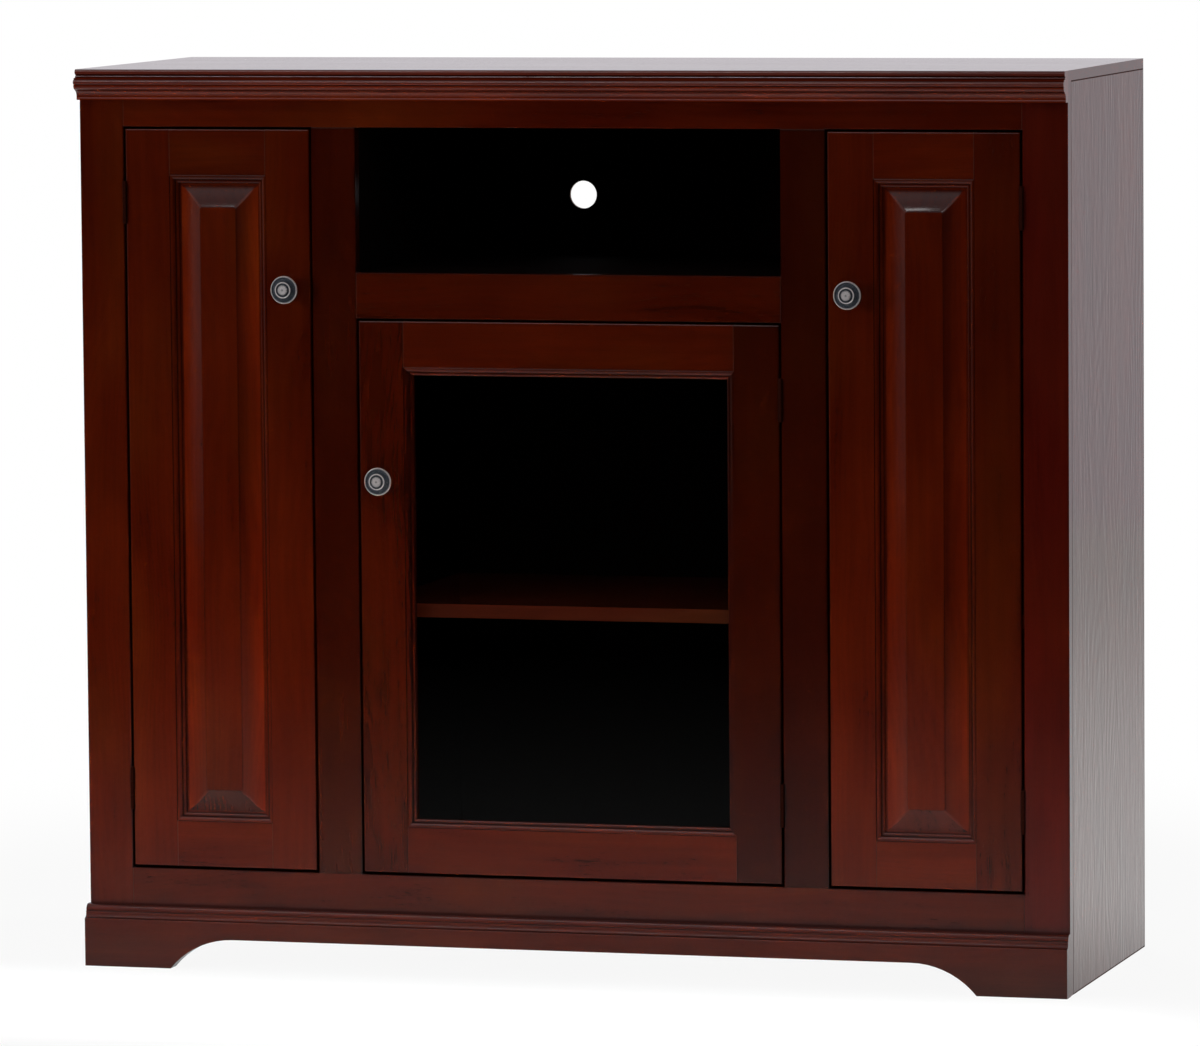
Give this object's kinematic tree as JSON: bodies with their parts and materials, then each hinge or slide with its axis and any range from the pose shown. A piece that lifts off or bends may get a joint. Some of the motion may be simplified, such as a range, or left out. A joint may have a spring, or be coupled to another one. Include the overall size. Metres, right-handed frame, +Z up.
{
  "type": "tv armoire",
  "caption": "Face-frame tv armoire in dark stained wood: open media bay over a glazed door, a raised-panel door on each side, moulded crown and arched base.",
  "frame": {"origin": "on the floor, under the middle of the whole object's width and depth", "axes": "+X to the right seen from the front, +Y from the front to the back, +Z up"},
  "size_m": [1.418, 0.5156, 1.264],
  "materials": {
    "cherry_wood": "dark cherry stain under semi-gloss lacquer",
    "inner_wood": "dark stained board, satin",
    "back_plywood": "dark stained plywood, satin",
    "clear_glass": "clear float glass",
    "pewter_knob": "antique pewter, brushed through on the rings",
    "antique_hinge": "dark antique brass",
    "plated_steel": "plated steel",
    "brown_plastic": "dark brown moulded plastic"
  },
  "bodies": {
    "carcase": {"side_panel_left": "cherry_wood", "side_panel_right": "cherry_wood", "divider_left": "inner_wood", "divider_right": "inner_wood", "bottom_panel": "inner_wood", "media_shelf": "inner_wood", "top_panel": "cherry_wood", "back_panel": "back_plywood", "rear_stretcher": "inner_wood", "crown_moulding": "cherry_wood", "base_board": "cherry_wood", "centre_shelf": "inner_wood", "frame_hinge_leaves": "antique_hinge", "left_catch": "brown_plastic", "right_catch": "brown_plastic", "centre_catch": "brown_plastic", "left_shelf_1": "inner_wood", "right_shelf_1": "inner_wood", "left_shelf_2": "inner_wood", "right_shelf_2": "inner_wood", "frame_stile_left": "cherry_wood", "frame_stile_right": "cherry_wood", "frame_inner_stile_left": "cherry_wood", "frame_inner_stile_right": "cherry_wood", "frame_top_rail": "cherry_wood", "frame_middle_rail": "cherry_wood", "frame_bottom_rail": "cherry_wood"},
    "left_door": {"left_door_pull_stile": "cherry_wood", "left_door_hinge_stile": "cherry_wood", "left_door_top_rail": "cherry_wood", "left_door_bottom_rail": "cherry_wood", "left_door_panel": "cherry_wood", "left_door_knob": "pewter_knob", "left_door_strike_plate": "plated_steel", "left_door_hinge_leaves": "antique_hinge"},
    "right_door": {"right_door_pull_stile": "cherry_wood", "right_door_hinge_stile": "cherry_wood", "right_door_top_rail": "cherry_wood", "right_door_bottom_rail": "cherry_wood", "right_door_panel": "cherry_wood", "right_door_knob": "pewter_knob", "right_door_strike_plate": "plated_steel", "right_door_hinge_leaves": "antique_hinge"},
    "centre_door": {"centre_door_pull_stile": "cherry_wood", "centre_door_hinge_stile": "cherry_wood", "centre_door_top_rail": "cherry_wood", "centre_door_bottom_rail": "cherry_wood", "centre_door_glass": "clear_glass", "centre_door_glass_stops": "cherry_wood", "centre_door_knob": "pewter_knob", "centre_door_strike_plate": "plated_steel", "centre_door_hinge_leaves": "antique_hinge"}
  },
  "joints": [
    {"name": "left_door_hinge", "type": "hinge", "parent": "carcase", "child": "left_door", "pos_m": [-0.6429, -0.23125, 0.6613], "axis": [0, 0, -1], "range_deg": [0, 165]},
    {"name": "right_door_hinge", "type": "hinge", "parent": "carcase", "child": "right_door", "pos_m": [0.6429, -0.23125, 0.6613], "axis": [0, 0, 1], "range_deg": [0, 165]},
    {"name": "centre_door_hinge", "type": "hinge", "parent": "carcase", "child": "centre_door", "pos_m": [0.3034, -0.23125, 0.52855], "axis": [0, 0, 1], "range_deg": [0, 115]}
  ]
}
